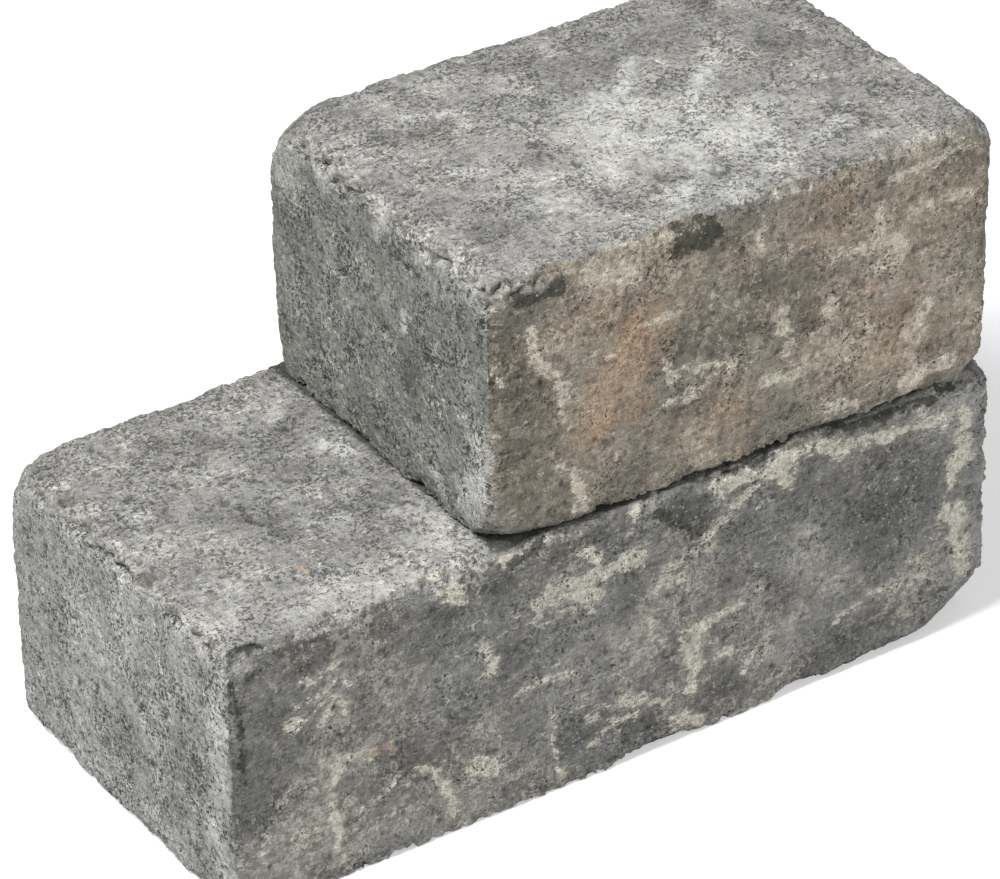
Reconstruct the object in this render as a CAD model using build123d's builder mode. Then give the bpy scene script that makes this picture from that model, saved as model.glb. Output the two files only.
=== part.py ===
"""Two tumbled concrete walling blocks: a long one, and a shorter one laid dry on its right-hand part.

Each block was cast square and then tumbled, so its twelve arrises are rolled over by different amounts,
its eight corners are knocked off, its arrises taper away towards some corners, pieces have spalled off
along them, and its faces are pocked. Lengths are in millimetres. X runs along the long block, Y from its front to its back,
and the origin is the centre of its underside.
"""
import os
from dataclasses import dataclass
from math import atan2, cos, radians, sin, sqrt

from build123d import *

# Sizes of the blocks as they measure today
long_length = 454.0
long_width = 215.0
long_height = 152.0
short_length = 295.5
short_width = 208.0
short_height = 145.5

# How the short block lies on the long one
bare_ledge = 153.0
short_set_back = 3.7
short_turn = -1.1

# How far the left ends lean in from foot to top
long_end_lean = 3.0
short_end_lean = 1.5

# Radius that tumbling has left on each arris of the long block
long_radii = {
    "front left": 6.0,
    "front right": 10.0,
    "back right": 12.0,
    "back left": 12.0,
    "top front": 10.0,
    "top back": 6.0,
    "bottom front": 6.0,
    "bottom back": 8.0,
    "top left": 6.5,
    "top right": 9.0,
    "bottom left": 5.0,
    "bottom right": 12.0,
}

# The same for the short block
short_radii = {
    "front left": 7.0,
    "front right": 7.0,
    "back right": 11.0,
    "back left": 9.0,
    "top front": 8.0,
    "top back": 7.0,
    "bottom front": 8.0,
    "bottom back": 8.0,
    "top left": 6.5,
    "top right": 9.0,
    "bottom left": 6.0,
    "bottom right": 9.0,
}

# What each corner has lost: how far the break reaches along the length, the width and the height
long_corners = {
    "top front left": (16, 12, 20),
    "top front right": (24, 18, 16),
    "top back right": (18, 16, 15),
    "top back left": (25, 35, 26),
    "bottom front left": (20, 14, 17),
    "bottom front right": (54, 25, 36),
    "bottom back right": (19, 17, 16),
    "bottom back left": (16, 18, 17),
}
short_corners = {
    "top front left": (15, 13, 14),
    "top front right": (22, 18, 17),
    "top back right": (30, 27, 20),
    "top back left": (33, 38, 26),
    "bottom front left": (27, 21, 17),
    "bottom front right": (22, 16, 18),
    "bottom back right": (18, 15, 16),
    "bottom back left": (16, 17, 19),
}

# Arrises that taper away towards one end: arris, that end, the run of the taper, its depth at the end
long_tapers = [
    ("bottom front", "right", 110, 9.0),
    ("top front", "left", 70, 3.0),
    ("top front", "right", 60, 3.5),
    ("front right", "bottom", 60, 5.0),
    ("top back", "left", 95, 6.0),
    ("top back", "right", 90, 4.0),
    ("top left", "back", 60, 4.0),
    ("top left", "front", 45, 3.0),
    ("bottom left", "back", 60, 4.0),
    ("bottom back", "right", 70, 3.5),
    ("back right", "top", 55, 4.0),
    ("back left", "top", 75, 6.5),
    ("front left", "bottom", 45, 2.0),
]
short_tapers = [
    ("bottom front", "left", 70, 6.0),
    ("front left", "bottom", 50, 5.0),
    ("top front", "right", 60, 3.5),
    ("top front", "left", 55, 2.5),
    ("top left", "back", 60, 3.5),
    ("top back", "left", 90, 6.5),
    ("top back", "right", 85, 4.0),
    ("back left", "bottom", 60, 5.0),
    ("back left", "top", 75, 6.5),
    ("top right", "front", 55, 3.5),
    ("bottom right", "back", 55, 3.0),
    ("back right", "top", 50, 3.0),
    ("front right", "bottom", 45, 3.5),
]

# Spalls along the arrises: arris, place as a share of its length, width, depth, and the bite's lean
# towards the first-named face, from 0 to 1
long_spalls = [
    ("top left", 0.77, 30, 4.2, 0.75),
    ("top left", 0.64, 20, 3.0, 0.70),
    ("top left", 0.39, 26, 4.6, 0.72),
    ("top left", 0.20, 14, 2.0, 0.60),
    ("top front", 0.03, 26, 4.5, 0.35),
    ("top front", 0.13, 44, 1.8, 0.55),
    ("top front", 0.27, 26, 2.2, 0.50),
    ("top front", 0.44, 52, 1.6, 0.45),
    ("top front", 0.76, 38, 2.6, 0.45),
    ("top front", 0.945, 26, 3.6, 0.40),
    ("bottom front", 0.545, 46, 2.4, 0.45),
    ("bottom front", 0.74, 34, 3.0, 0.50),
    ("front left", 0.58, 34, 1.0, 0.45),
    ("front right", 0.35, 34, 1.0, 0.50),
    ("top back", 0.22, 40, 2.6, 0.50),
    ("top back", 0.60, 30, 3.0, 0.55),
    ("top right", 0.40, 36, 2.6, 0.50),
    ("bottom left", 0.45, 30, 1.4, 0.40),
    ("bottom left", 0.80, 22, 2.6, 0.45),
    ("bottom back", 0.35, 46, 2.6, 0.50),
    ("bottom back", 0.72, 26, 2.8, 0.45),
    ("back left", 0.55, 28, 2.2, 0.50),
    ("back right", 0.40, 34, 2.6, 0.50),
]
short_spalls = [
    ("top left", 0.80, 30, 2.2, 0.60),
    ("top left", 0.62, 22, 1.8, 0.55),
    ("top left", 0.46, 24, 2.8, 0.55),
    ("top left", 0.28, 22, 1.8, 0.50),
    ("top left", 0.12, 21, 2.4, 0.50),
    ("top front", 0.13, 22, 2.0, 0.35),
    ("top front", 0.38, 34, 2.6, 0.40),
    ("top front", 0.60, 40, 1.6, 0.50),
    ("top front", 0.80, 26, 2.0, 0.50),
    ("bottom front", 0.40, 34, 1.8, 0.40),
    ("bottom front", 0.66, 26, 2.0, 0.45),
    ("bottom front", 0.86, 38, 1.8, 0.45),
    ("front left", 0.40, 34, 1.2, 0.50),
    ("front right", 0.55, 38, 1.0, 0.50),
    ("top back", 0.16, 34, 3.4, 0.50),
    ("top back", 0.50, 46, 1.2, 0.50),
    ("top back", 0.78, 30, 2.6, 0.50),
    ("back left", 0.58, 14, 1.8, 0.50),
    ("top right", 0.45, 30, 2.6, 0.50),
    ("back right", 0.50, 30, 2.2, 0.50),
    ("bottom right", 0.60, 28, 2.4, 0.45),
]

# Width and depth of the pocks that the faces have
pock_sizes = {"large": (10.5, 2.1), "small": (8.5, 1.8)}

# Pocks in the faces: face, place from its left or front edge, place from its bottom or front edge, size
long_pocks = [
    ("top", 76, 96, "large"),
    ("top", 27, 178, "small"),
    ("top", 47, 68, "large"),
    ("left", 82, 124, "small"),
    ("left", 104, 99, "small"),
    ("left", 172, 56, "small"),
    ("left", 149, 38, "large"),
    ("back", 148, 52, "small"),
    ("back", 231, 104, "large"),
    ("back", 312, 62, "small"),
    ("right", 102, 47, "large"),
]
short_pocks = [
    ("top", 228, 141, "large"),
    ("top", 130, 43, "large"),
    ("top", 103, 49, "large"),
    ("top", 157, 117, "small"),
    ("top", 206, 24, "small"),
    ("top", 257, 88, "small"),
    ("left", 135, 90, "large"),
    ("left", 93, 77, "small"),
    ("back", 62, 84, "large"),
    ("back", 139, 55, "small"),
    ("right", 108, 50, "large"),
]

# A taper is cut by a long shallow plane and by a steeper one over this share of its run
steep_share = 0.45
steep_setback = 0.3
full_fall = 1.55

outward = {
    "left": Vector(-1, 0, 0),
    "right": Vector(1, 0, 0),
    "front": Vector(0, -1, 0),
    "back": Vector(0, 1, 0),
    "bottom": Vector(0, 0, -1),
    "top": Vector(0, 0, 1),
}


@dataclass
class Block:
    """One block: where it sits, its size, and the wear that tumbling gave it."""

    seat: Plane
    length: float
    width: float
    height: float
    end_lean: float
    radii: dict
    corners: dict
    tapers: list
    spalls: list
    pocks: list

    def face(self, name):
        """How far a face lies from the centre of the underside, as a vector."""
        reach = {
            "left": self.length / 2,
            "right": self.length / 2,
            "front": self.width / 2,
            "back": self.width / 2,
            "bottom": 0,
            "top": self.height,
        }
        return outward[name] * reach[name]

    def corner(self, name):
        """The sharp corner where three named faces would meet."""
        first, second, third = name.split()
        return self.face(first) + self.face(second) + self.face(third)

    def arris(self, name, share):
        """A point of a sharp arris, at a share of its length from the left, the front or the bottom."""
        first, second = name.split()
        point = self.face(first) + self.face(second)
        for low, high in (("left", "right"), ("front", "back"), ("bottom", "top")):
            if not {low, high} & {first, second}:
                point += self.face(low) * (1 - share) + self.face(high) * share
        return point

    def crest(self, name):
        """How deep the rolled-over crest of an arris lies under the sharp one."""
        return self.radii[name] * (sqrt(2) - 1)


def corner_break(block, name):
    """The plane that a corner broke off along."""
    upright, across, endwise = (outward[side] for side in name.split())
    along_length, along_width, along_height = block.corners[name]
    normal = upright / along_height + across / along_width + endwise / along_length
    return Plane(origin=block.corner(name) - upright * along_height, z_dir=normal)


def taper_planes(block, name, end, run, depth):
    """Two planes that wear an arris away towards one end, the second one shorter and steeper."""
    first, second = name.split()
    diagonal = (outward[first] + outward[second]).normalized()
    share = 1 if end in ("right", "back", "top") else 0
    end_point = block.arris(name, share) - diagonal * block.crest(name)
    planes = []
    for part in (1, steep_share):
        slope = atan2(depth * (full_fall - part), run * part)
        start = end_point - outward[end] * run * part - diagonal * depth * (1 - part) * steep_setback
        planes.append(Plane(origin=start, z_dir=diagonal * cos(slope) + outward[end] * sin(slope)))
    return planes


def ball_radius(width, depth):
    """Radius of the ball whose cap has this width and depth."""
    return (width**2 / 4 + depth**2) / (2 * depth)


def spall_ball(block, name, share, width, depth, lean):
    """Centre and radius of the ball whose cap is the shape of one spall."""
    first, second = name.split()
    bite = (outward[first] * lean + outward[second] * (1 - lean)).normalized()
    diagonal = (outward[first] + outward[second]).normalized()
    radius = ball_radius(width, depth)
    crest = block.arris(name, share) - diagonal * block.crest(name)
    return crest + bite * (radius - depth), radius


def pock_seat(block, name, along, up, size):
    """Where the ball lies whose cap is the shape of one pock, with its pole turned to the face."""
    low_sides = {
        "left": ("front", "bottom"),
        "right": ("front", "bottom"),
        "front": ("left", "bottom"),
        "back": ("left", "bottom"),
        "top": ("left", "front"),
    }
    first, second = low_sides[name]
    width, depth = pock_sizes[size]
    place = block.face(name) + block.face(first) + block.face(second)
    place -= outward[first] * along + outward[second] * up
    if name == "left":
        place -= outward[name] * block.end_lean * up / block.height
    place += outward[name] * (ball_radius(width, depth) - depth)
    return Plane(origin=place, z_dir=outward[name])


def tumbled_block(block):
    """One worn block, made square, rolled over at its arrises, and then broken and spalled."""
    half_length = block.length / 2
    half_width = block.width / 2
    plan = [
        (-half_length, -half_width),
        (half_length, -half_width),
        (half_length, half_width),
        (-half_length, half_width),
    ]
    front = [
        (-half_length, 0),
        (half_length, 0),
        (half_length, block.height),
        (-half_length + block.end_lean, block.height),
    ]
    side = [
        (-half_width, 0),
        (half_width, 0),
        (half_width, block.height),
        (-half_width, block.height),
    ]
    uprights = ("front left", "front right", "back right", "back left")
    across = ("bottom left", "bottom right", "top right", "top left")
    lengthways = ("bottom front", "bottom back", "top back", "top front")
    reach = block.length + block.width + block.height
    with BuildPart() as worn:
        with BuildSketch(block.seat):
            with BuildLine():
                FilletPolyline(*plan, radius=[block.radii[name] for name in uprights], close=True)
            make_face()
        extrude(amount=block.height)
        with BuildSketch(block.seat * Plane.XZ):
            with BuildLine():
                FilletPolyline(*front, radius=[block.radii[name] for name in across], close=True)
            make_face()
        extrude(amount=block.width, both=True, mode=Mode.INTERSECT)
        with BuildSketch(block.seat * Plane.YZ):
            with BuildLine():
                FilletPolyline(*side, radius=[block.radii[name] for name in lengthways], close=True)
            make_face()
        extrude(amount=block.length, both=True, mode=Mode.INTERSECT)
        breaks = [corner_break(block, name) for name in block.corners]
        for taper in block.tapers:
            breaks += taper_planes(block, *taper)
        for plane in breaks:
            with Locations(block.seat * plane):
                Box(reach, reach, reach, align=(Align.CENTER, Align.CENTER, Align.MIN), mode=Mode.SUBTRACT)
        for spall in block.spalls:
            centre, radius = spall_ball(block, *spall)
            with Locations(block.seat * Location(centre)):
                Sphere(radius, mode=Mode.SUBTRACT)
        for name, along, up, size in block.pocks:
            with Locations(block.seat * pock_seat(block, name, along, up, size)):
                Sphere(ball_radius(*pock_sizes[size]), mode=Mode.SUBTRACT)
    return worn.part


# The long block stands on the ground
long_spec = Block(
    Plane.XY,
    long_length,
    long_width,
    long_height,
    long_end_lean,
    long_radii,
    long_corners,
    long_tapers,
    long_spalls,
    long_pocks,
)

# The short block lies flat on it, turned a little about its own front left corner
turn = radians(short_turn)
short_along = Vector(cos(turn), sin(turn), 0)
short_across = Vector(-sin(turn), cos(turn), 0)
short_front_left = Vector(bare_ledge - long_length / 2, short_set_back - long_width / 2, long_height)
short_centre = short_front_left + short_along * (short_length / 2) + short_across * (short_width / 2)
short_spec = Block(
    Plane(origin=short_centre, x_dir=short_along, z_dir=(0, 0, 1)),
    short_length,
    short_width,
    short_height,
    short_end_lean,
    short_radii,
    short_corners,
    short_tapers,
    short_spalls,
    short_pocks,
)

with BuildPart() as long_block:
    add(tumbled_block(long_spec))
long_block.part.label = "long_block"

with BuildPart() as short_block:
    add(tumbled_block(short_spec))
short_block.part.label = "short_block"

os.makedirs("parts", exist_ok=True)
export_step(long_block.part, "parts/long_block.step")
export_step(short_block.part, "parts/short_block.step")
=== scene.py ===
"""Looks of two tumbled concrete walling blocks, the shorter one laid dry on the longer.

Each block is a cast mesh grown from its solid: worn arrises, crumbs, pits and grain are real shape, and
the colour follows the same wear, with shade painted into the pits, cracks, crumb notches and the joint
between the blocks, and light and shade painted on the grain. Marks that show on a face, such as bloom,
damp and veins, are listed in millimetres on that face. Lengths in the lists are millimetres, and meshes are in metres.
"""

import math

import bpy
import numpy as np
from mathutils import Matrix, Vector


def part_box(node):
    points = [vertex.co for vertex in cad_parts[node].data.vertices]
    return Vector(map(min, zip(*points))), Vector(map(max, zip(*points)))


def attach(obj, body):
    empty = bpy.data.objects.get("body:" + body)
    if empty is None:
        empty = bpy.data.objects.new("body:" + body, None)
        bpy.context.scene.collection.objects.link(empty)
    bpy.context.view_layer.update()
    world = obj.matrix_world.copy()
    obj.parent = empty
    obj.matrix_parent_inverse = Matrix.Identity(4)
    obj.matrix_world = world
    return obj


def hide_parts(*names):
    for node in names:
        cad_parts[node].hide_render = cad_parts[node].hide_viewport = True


bl_info = {
    "name": "Tumbled walling blocks",
    "version": (1, 0, 0),
    "blender": (4, 5, 0),
    "location": "View3D > Sidebar > Walling blocks",
    "description": "Casts, wears and colours two tumbled concrete walling blocks on a pale stage",
    "category": "Object",
}

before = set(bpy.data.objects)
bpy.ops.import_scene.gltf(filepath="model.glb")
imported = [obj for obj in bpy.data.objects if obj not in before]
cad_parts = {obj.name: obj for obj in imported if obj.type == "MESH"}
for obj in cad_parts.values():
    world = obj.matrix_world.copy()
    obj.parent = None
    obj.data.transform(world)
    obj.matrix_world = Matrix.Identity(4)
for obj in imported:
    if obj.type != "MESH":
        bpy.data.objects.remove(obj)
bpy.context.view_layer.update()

MM = 0.001

# The face names, with the direction each one looks in the block's own frame
FACES = {
    "front": (0, -1, 0),
    "back": (0, 1, 0),
    "left": (-1, 0, 0),
    "right": (1, 0, 0),
    "bottom": (0, 0, -1),
    "top": (0, 0, 1),
}

# Marks on each face: kind, strength, half width, then the points that the mark runs through.
# Places are from the face's lower left corner as the face is looked at, and on a top face from its
# front left corner. On a left end they are measured from the front arris.
LONG_MARKS = {
    "front": [
        ("pale", 1.0, 6.0, (178, 121), (200, 119), (222, 121), (240, 122)),
        ("pale", 0.9, 6.0, (187, 114), (205, 111), (214, 107)),
        ("pale", 0.8, 4.0, (203, 112), (209, 99)),
        ("pale", 0.9, 3.0, (247, 98), (262, 112), (285, 124), (310, 133), (322, 138)),
        ("pale", 0.9, 6.5, (284, 142), (305, 140), (332, 143), (362, 139), (395, 137), (426, 133)),
        ("pale", 0.9, 5.0, (322, 135), (327, 129)),
        ("pale", 0.7, 5.0, (268, 113), (282, 112)),
        ("pale", 0.9, 7.0, (246, 98), (257, 96)),
        ("pale", 0.7, 2.0, (242, 85), (252, 62)),
        ("pale", 0.9, 7.0, (434, 131), (432, 108), (430, 86)),
        ("pale", 1.0, 8.0, (431, 70)),
        ("pale", 0.7, 8.0, (432, 55), (438, 30)),
        ("pale", 0.8, 4.5, (265, 64), (280, 65), (297, 66)),
        ("pale", 0.9, 5.0, (268, 55)),
        ("pale", 1.0, 5.0, (267, 46), (268, 28)),
        ("pale", 0.8, 3.0, (284, 43), (303, 41)),
        ("pale", 0.9, 3.0, (298, 26), (304, 39)),
        ("pale", 0.9, 2.2, (307, 26), (318, 45)),
        ("pale", 0.7, 2.0, (355, 33), (385, 38), (396, 39)),
        ("pale", 0.7, 2.0, (400, 42), (416, 44)),
        ("pale", 1.0, 2.4, (394, 111)),
        ("pale", 0.9, 8.0, (124, 149), (127, 136)),
        ("pale", 0.8, 6.0, (208, 135), (215, 130)),
        ("pale", 0.7, 5.0, (160, 149), (190, 150)),
        ("pale", 0.8, 5.0, (232, 136), (238, 150)),
        ("pale", 0.9, 2.2, (44, 125), (60, 126)),
        ("pale", 0.8, 2.0, (40, 113), (58, 114)),
        ("pale", 0.9, 2.2, (63, 116), (68, 109)),
        ("pale", 0.9, 2.4, (62, 104), (64, 95)),
        ("pale", 0.7, 2.0, (48, 107), (60, 108)),
        ("pale", 0.7, 3.0, (48, 96), (52, 100)),
        ("pale", 0.9, 5.0, (37, 104)),
        ("pale", 0.8, 5.0, (144, 104), (146, 90)),
        ("pale", 0.8, 2.6, (176, 112)),
        ("pale", 0.7, 1.8, (60, 70), (72, 69), (76, 64)),
        ("pale", 0.9, 3.0, (60, 66), (58, 50), (57, 40)),
        ("pale", 0.9, 5.0, (57, 40), (62, 30), (60, 18)),
        ("pale", 0.9, 3.0, (40, 31), (55, 30)),
        ("pale", 1.0, 3.0, (72, 35), (84, 38), (95, 44)),
        ("pale", 0.8, 3.0, (64, 14)),
        ("pale", 1.0, 2.6, (18, 29)),
        ("pale", 0.7, 2.4, (107, 45), (116, 38), (120, 28)),
        ("pale", 0.8, 5.5, (119, 28), (124, 10)),
        ("pale", 0.9, 2.2, (183, 48), (184, 38), (187, 22), (189, 8)),
        ("pale", 0.5, 2.0, (165, 68), (195, 66)),
        ("pale", 0.7, 2.6, (205, 32), (225, 38), (240, 36)),
        ("pale", 0.6, 2.4, (206, 20), (225, 30), (258, 28)),
        ("pale", 0.5, 7.0, (255, 15), (276, 11)),
        ("pale", 0.7, 7.0, (138, 34), (150, 30)),
        ("light", 1.0, 15.0, (443, 142), (443, 20)),
        ("light", 0.7, 26.0, (345, 80), (342, 55)),
        ("light", 0.6, 24.0, (215, 75)),
        ("light", 0.5, 14.0, (110, 90)),
        ("tan", 0.7, 2.2, (75, 64), (88, 66), (90, 62)),
        ("dark", 0.6, 10.0, (40, 138), (95, 138)),
        ("dark", 0.7, 9.0, (120, 131), (160, 138)),
        ("dark", 0.6, 9.0, (192, 140), (206, 138)),
        ("dark", 0.8, 8.0, (262, 142), (274, 120)),
        ("moss", 1.0, 5.0, (420, 148), (433, 142)),
        ("moss", 1.0, 1.8, (5, 146), (7, 105), (5, 84)),
        ("moss", 1.0, 2.5, (10, 146), (30, 147)),
        ("moss", 1.0, 3.0, (290, 150), (330, 149), (380, 149), (415, 148)),
        ("moss", 1.0, 3.0, (165, 145), (180, 147)),
        ("moss", 1.0, 2.5, (250, 141), (262, 133)),
        ("dark", 0.45, 18.0, (165, 100)),
        ("dark", 0.45, 34.0, (385, 100)),
        ("dark", 0.4, 16.0, (100, 40)),
        ("dark", 0.45, 20.0, (18, 60)),
        ("dark", 0.5, 8.0, (190, 30), (240, 20), (330, 12), (420, 24)),
    ],
    "top": [
        ("bloom", 0.9, 6.0, (140, 136), (146, 121)),
        ("bloom", 0.7, 6.0, (135, 172)),
        ("bloom", 0.9, 4.5, (25, 132), (32, 131)),
        ("light", 0.8, 22.0, (18, 22), (60, 18), (100, 15), (150, 25)),
        ("light", 0.7, 9.0, (35, 45)),
        ("light", 0.8, 12.0, (148, 32), (148, 60)),
        ("dark", 0.6, 4.0, (83, 92), (84, 30)),
        ("dark", 0.6, 3.0, (89, 80), (89, 18)),
        ("dark", 0.5, 2.4, (75, 60), (75, 20)),
        ("dark", 0.6, 3.0, (118, 100), (120, 15)),
        ("dark", 0.5, 7.0, (128, 72), (129, 10)),
        ("dark", 0.5, 3.0, (96, 70), (97, 40)),
        ("tan", 1.0, 2.4, (72, 43)),
    ],
    "left": [
        ("light", 1.0, 10.0, (2, 148), (7, 100), (9, 60), (12, 10)),
        ("light", 0.8, 7.0, (14, 74), (18, 30)),
        ("bloom", 0.7, 5.5, (72, 68)),
        ("bloom", 0.8, 3.4, (83, 72)),
        ("bloom", 0.5, 6.0, (130, 135)),
        ("bloom", 0.6, 5.0, (75, 20), (86, 15)),
        ("dark", 0.7, 6.0, (3, 52), (5, 30)),
    ],
}

SHORT_MARKS = {
    "front": [
        ("pale", 0.8, 5.0, (28, 118), (30, 100), (38, 88)),
        ("pale", 0.9, 3.4, (41, 84), (41, 62)),
        ("pale", 0.9, 6.5, (42, 38), (46, 22), (52, 11)),
        ("pale", 0.6, 4.0, (95, 100), (110, 98)),
        ("pale", 0.8, 4.0, (100, 73), (104, 62)),
        ("pale", 0.8, 5.0, (108, 63), (135, 60), (140, 56)),
        ("pale", 0.6, 5.0, (103, 50), (122, 47)),
        ("pale", 0.9, 5.5, (172, 76), (176, 66)),
        ("pale", 0.8, 4.5, (198, 68)),
        ("pale", 0.7, 3.0, (175, 58), (172, 52)),
        ("pale", 1.0, 6.0, (224, 118), (228, 105), (236, 97), (238, 87)),
        ("pale", 0.8, 3.0, (203, 98), (222, 100), (235, 100)),
        ("pale", 0.9, 4.5, (228, 86)),
        ("pale", 0.7, 2.6, (232, 132), (262, 131), (285, 134)),
        ("pale", 0.6, 4.0, (245, 112), (280, 107)),
        ("pale", 0.9, 5.0, (250, 50), (256, 55)),
        ("pale", 0.9, 4.0, (242, 42), (255, 37)),
        ("pale", 0.8, 2.0, (243, 30), (253, 20)),
        ("pale", 0.7, 3.0, (160, 42), (175, 38), (186, 45)),
        ("pale", 0.6, 9.0, (240, 11), (270, 13)),
        ("pale", 0.6, 6.0, (200, 12), (215, 8)),
        ("pale", 0.6, 8.0, (55, 132), (80, 126)),
        ("pale", 0.5, 3.0, (160, 130), (158, 118)),
        ("pale", 0.6, 3.0, (175, 115)),
        ("pale", 0.6, 3.0, (215, 55), (222, 52)),
        ("pale", 1.0, 1.8, (3, 99), (9, 93)),
        ("moss", 1.0, 11.0, (112, 135), (123, 131)),
        ("moss", 1.0, 8.0, (129, 139)),
        ("moss", 1.0, 5.0, (18, 137), (40, 134)),
        ("moss", 1.0, 1.2, (2, 130), (3, 90), (3, 50)),
        ("dark", 0.6, 20.0, (14, 115), (16, 85), (15, 55)),
        ("dark", 0.45, 16.0, (25, 30)),
        ("dark", 0.5, 12.0, (106, 76), (150, 75), (190, 72)),
        ("dark", 0.45, 12.0, (140, 95), (190, 95)),
        ("dark", 0.6, 9.0, (200, 58), (236, 60)),
        ("dark", 0.5, 9.0, (246, 84), (252, 98)),
        ("tan", 1.0, 16.0, (86, 95)),
        ("tan", 0.8, 11.0, (62, 66), (60, 50)),
        ("tan", 0.8, 15.0, (82, 85), (70, 70)),
        ("tan", 0.5, 12.0, (62, 112)),
        ("tan", 0.5, 15.0, (80, 58)),
        ("tan", 1.0, 3.6, (221, 76)),
        ("light", 0.7, 22.0, (245, 100), (250, 50)),
        ("tan", 0.4, 28.0, (242, 46)),
        ("tan", 0.35, 24.0, (205, 120)),
        ("tan", 0.35, 20.0, (138, 30)),
    ],
    "top": [
        ("bloom", 0.9, 10.0, (142, 119), (150, 112)),
        ("bloom", 0.8, 5.5, (160, 128), (172, 138), (178, 148)),
        ("bloom", 0.9, 6.0, (180, 92), (195, 108), (210, 122), (217, 132)),
        ("bloom", 0.9, 8.5, (178, 87)),
        ("bloom", 0.7, 3.9, (55, 160), (80, 148)),
        ("bloom", 0.7, 5.5, (75, 134)),
        ("bloom", 0.8, 5.0, (48, 101), (58, 95)),
        ("bloom", 0.8, 4.5, (15, 127)),
        ("bloom", 0.7, 8.0, (125, 18), (131, 29)),
        ("bloom", 0.7, 11.0, (150, 13)),
        ("bloom", 0.6, 9.0, (145, 41)),
        ("bloom", 0.8, 5.5, (103, 70), (108, 61)),
        ("bloom", 0.5, 8.0, (80, 75)),
        ("bloom", 0.6, 12.0, (200, 70)),
        ("bloom", 0.7, 5.1, (215, 35), (231, 42)),
        ("bloom", 0.5, 8.0, (70, 50)),
        ("bloom", 0.5, 8.0, (240, 21)),
        ("bloom", 0.6, 7.0, (85, 186)),
        ("bloom", 0.7, 4.5, (122, 170)),
        ("bloom", 0.6, 6.0, (155, 183)),
        ("light", 0.9, 54.0, (140, 80)),
        ("light", 0.8, 44.0, (185, 60)),
        ("bloom", 0.7, 16.0, (120, 95), (160, 70), (190, 45)),
        ("dark", 0.5, 11.0, (245, 33)),
        ("dark", 0.35, 18.0, (242, 112)),
        ("dark", 0.45, 24.0, (165, 166)),
        ("dark", 0.4, 20.0, (30, 36)),
    ],
    "left": [
        ("bloom", 0.9, 9.0, (8, 52), (10, 30), (20, 17)),
        ("bloom", 0.6, 6.0, (50, 18), (45, 12)),
        ("bloom", 0.9, 2.8, (24, 99)),
        ("bloom", 0.7, 3.4, (75, 95), (78, 87)),
        ("bloom", 0.7, 5.5, (88, 143), (96, 134)),
        ("bloom", 0.6, 9.0, (20, 143)),
        ("bloom", 0.5, 7.0, (60, 135)),
        ("bloom", 0.6, 5.0, (150, 138), (155, 130)),
        ("bloom", 0.4, 10.0, (185, 118)),
        ("dark", 0.5, 26.0, (60, 60)),
        ("dark", 0.5, 6.0, (5, 75)),
    ],
}

# Pits and small breaks that stand out on the faces: face, place, half width, depth
LONG_PITS = [
    ("top", 76, 96, 4.0, 2.2),
    ("top", 61, 85, 2.6, 1.4),
    ("top", 27, 178, 2.6, 1.4),
    ("top", 64, 164, 3.0, 1.4),
    ("top", 80, 163, 2.4, 1.2),
    ("top", 128, 4, 5.0, 2.0),
    ("top", 52, 71, 3.0, 1.4),
    ("top", 46, 66, 2.4, 1.2),
    ("top", 100, 61, 2.2, 1.0),
    ("top", 12, 163, 8.0, 2.4),
    ("top", 8, 140, 7.0, 2.4),
    ("top", 10, 83, 8.5, 3.4),
    ("left", 84, 128, 3.0, 1.6),
    ("left", 78, 118, 2.6, 1.4),
    ("left", 45, 96, 2.2, 1.2),
    ("left", 75, 98, 2.4, 1.2),
    ("left", 170, 55, 3.0, 2.0),
    ("left", 100, 100, 2.4, 1.2),
    ("left", 81, 76, 2.4, 1.4),
    ("left", 138, 113, 2.0, 1.2),
    ("left", 113, 146, 3.0, 1.4),
    ("left", 148, 42, 2.8, 1.6),
    ("left", 148, 34, 2.4, 1.4),
    ("left", 62, 38, 2.2, 1.2),
]
SHORT_PITS = [
    ("top", 228, 141, 3.8, 2.2),
    ("top", 157, 117, 2.4, 1.4),
    ("top", 130, 44, 3.4, 2.2),
    ("top", 103, 47, 4.0, 1.6),
    ("top", 206, 14, 4.2, 2.4),
    ("top", 261, 86, 4.0, 1.6),
    ("top", 252, 105, 3.6, 1.6),
    ("top", 271, 109, 3.4, 1.8),
    ("top", 244, 60, 4.0, 1.6),
    ("top", 230, 109, 2.8, 1.4),
    ("top", 45, 118, 2.8, 1.4),
    ("top", 56, 100, 2.6, 1.4),
    ("top", 8, 100, 3.0, 1.6),
    ("top", 175, 180, 2.8, 1.4),
    ("left", 135, 89, 3.6, 2.2),
    ("left", 93, 77, 3.4, 1.6),
    ("left", 140, 131, 3.0, 1.8),
    ("left", 128, 115, 4.6, 1.8),
    ("left", 118, 50, 3.0, 1.6),
    ("left", 142, 55, 3.0, 1.6),
    ("left", 62, 60, 2.4, 1.4),
    ("left", 20, 125, 3.8, 1.8),
    ("left", 43, 20, 3.8, 1.6),
    ("left", 75, 15, 3.4, 1.4),
    ("left", 178, 80, 2.2, 1.2),
]

# How hard tumbling has crumbled each arris: 1 is the usual wear
LONG_CRUMBLE = {"top left": 2.2, "top front": 1.1, "front left": 0.6, "front right": 1.6, "top back": 0.9}
SHORT_CRUMBLE = {"top left": 2.4, "top front": 0.8, "front left": 0.6, "top back": 0.9}

# How far each arris stands proud of its even roll, in millimetres
LONG_CRESTS = {"top left": 2.2, "top front": 2.4, "front left": 1.8, "front right": 1.5}
SHORT_CRESTS = {"top left": 2.4, "top front": 2.2, "front left": 2.0, "bottom front": 2.6, "bottom left": 1.5}


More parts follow.
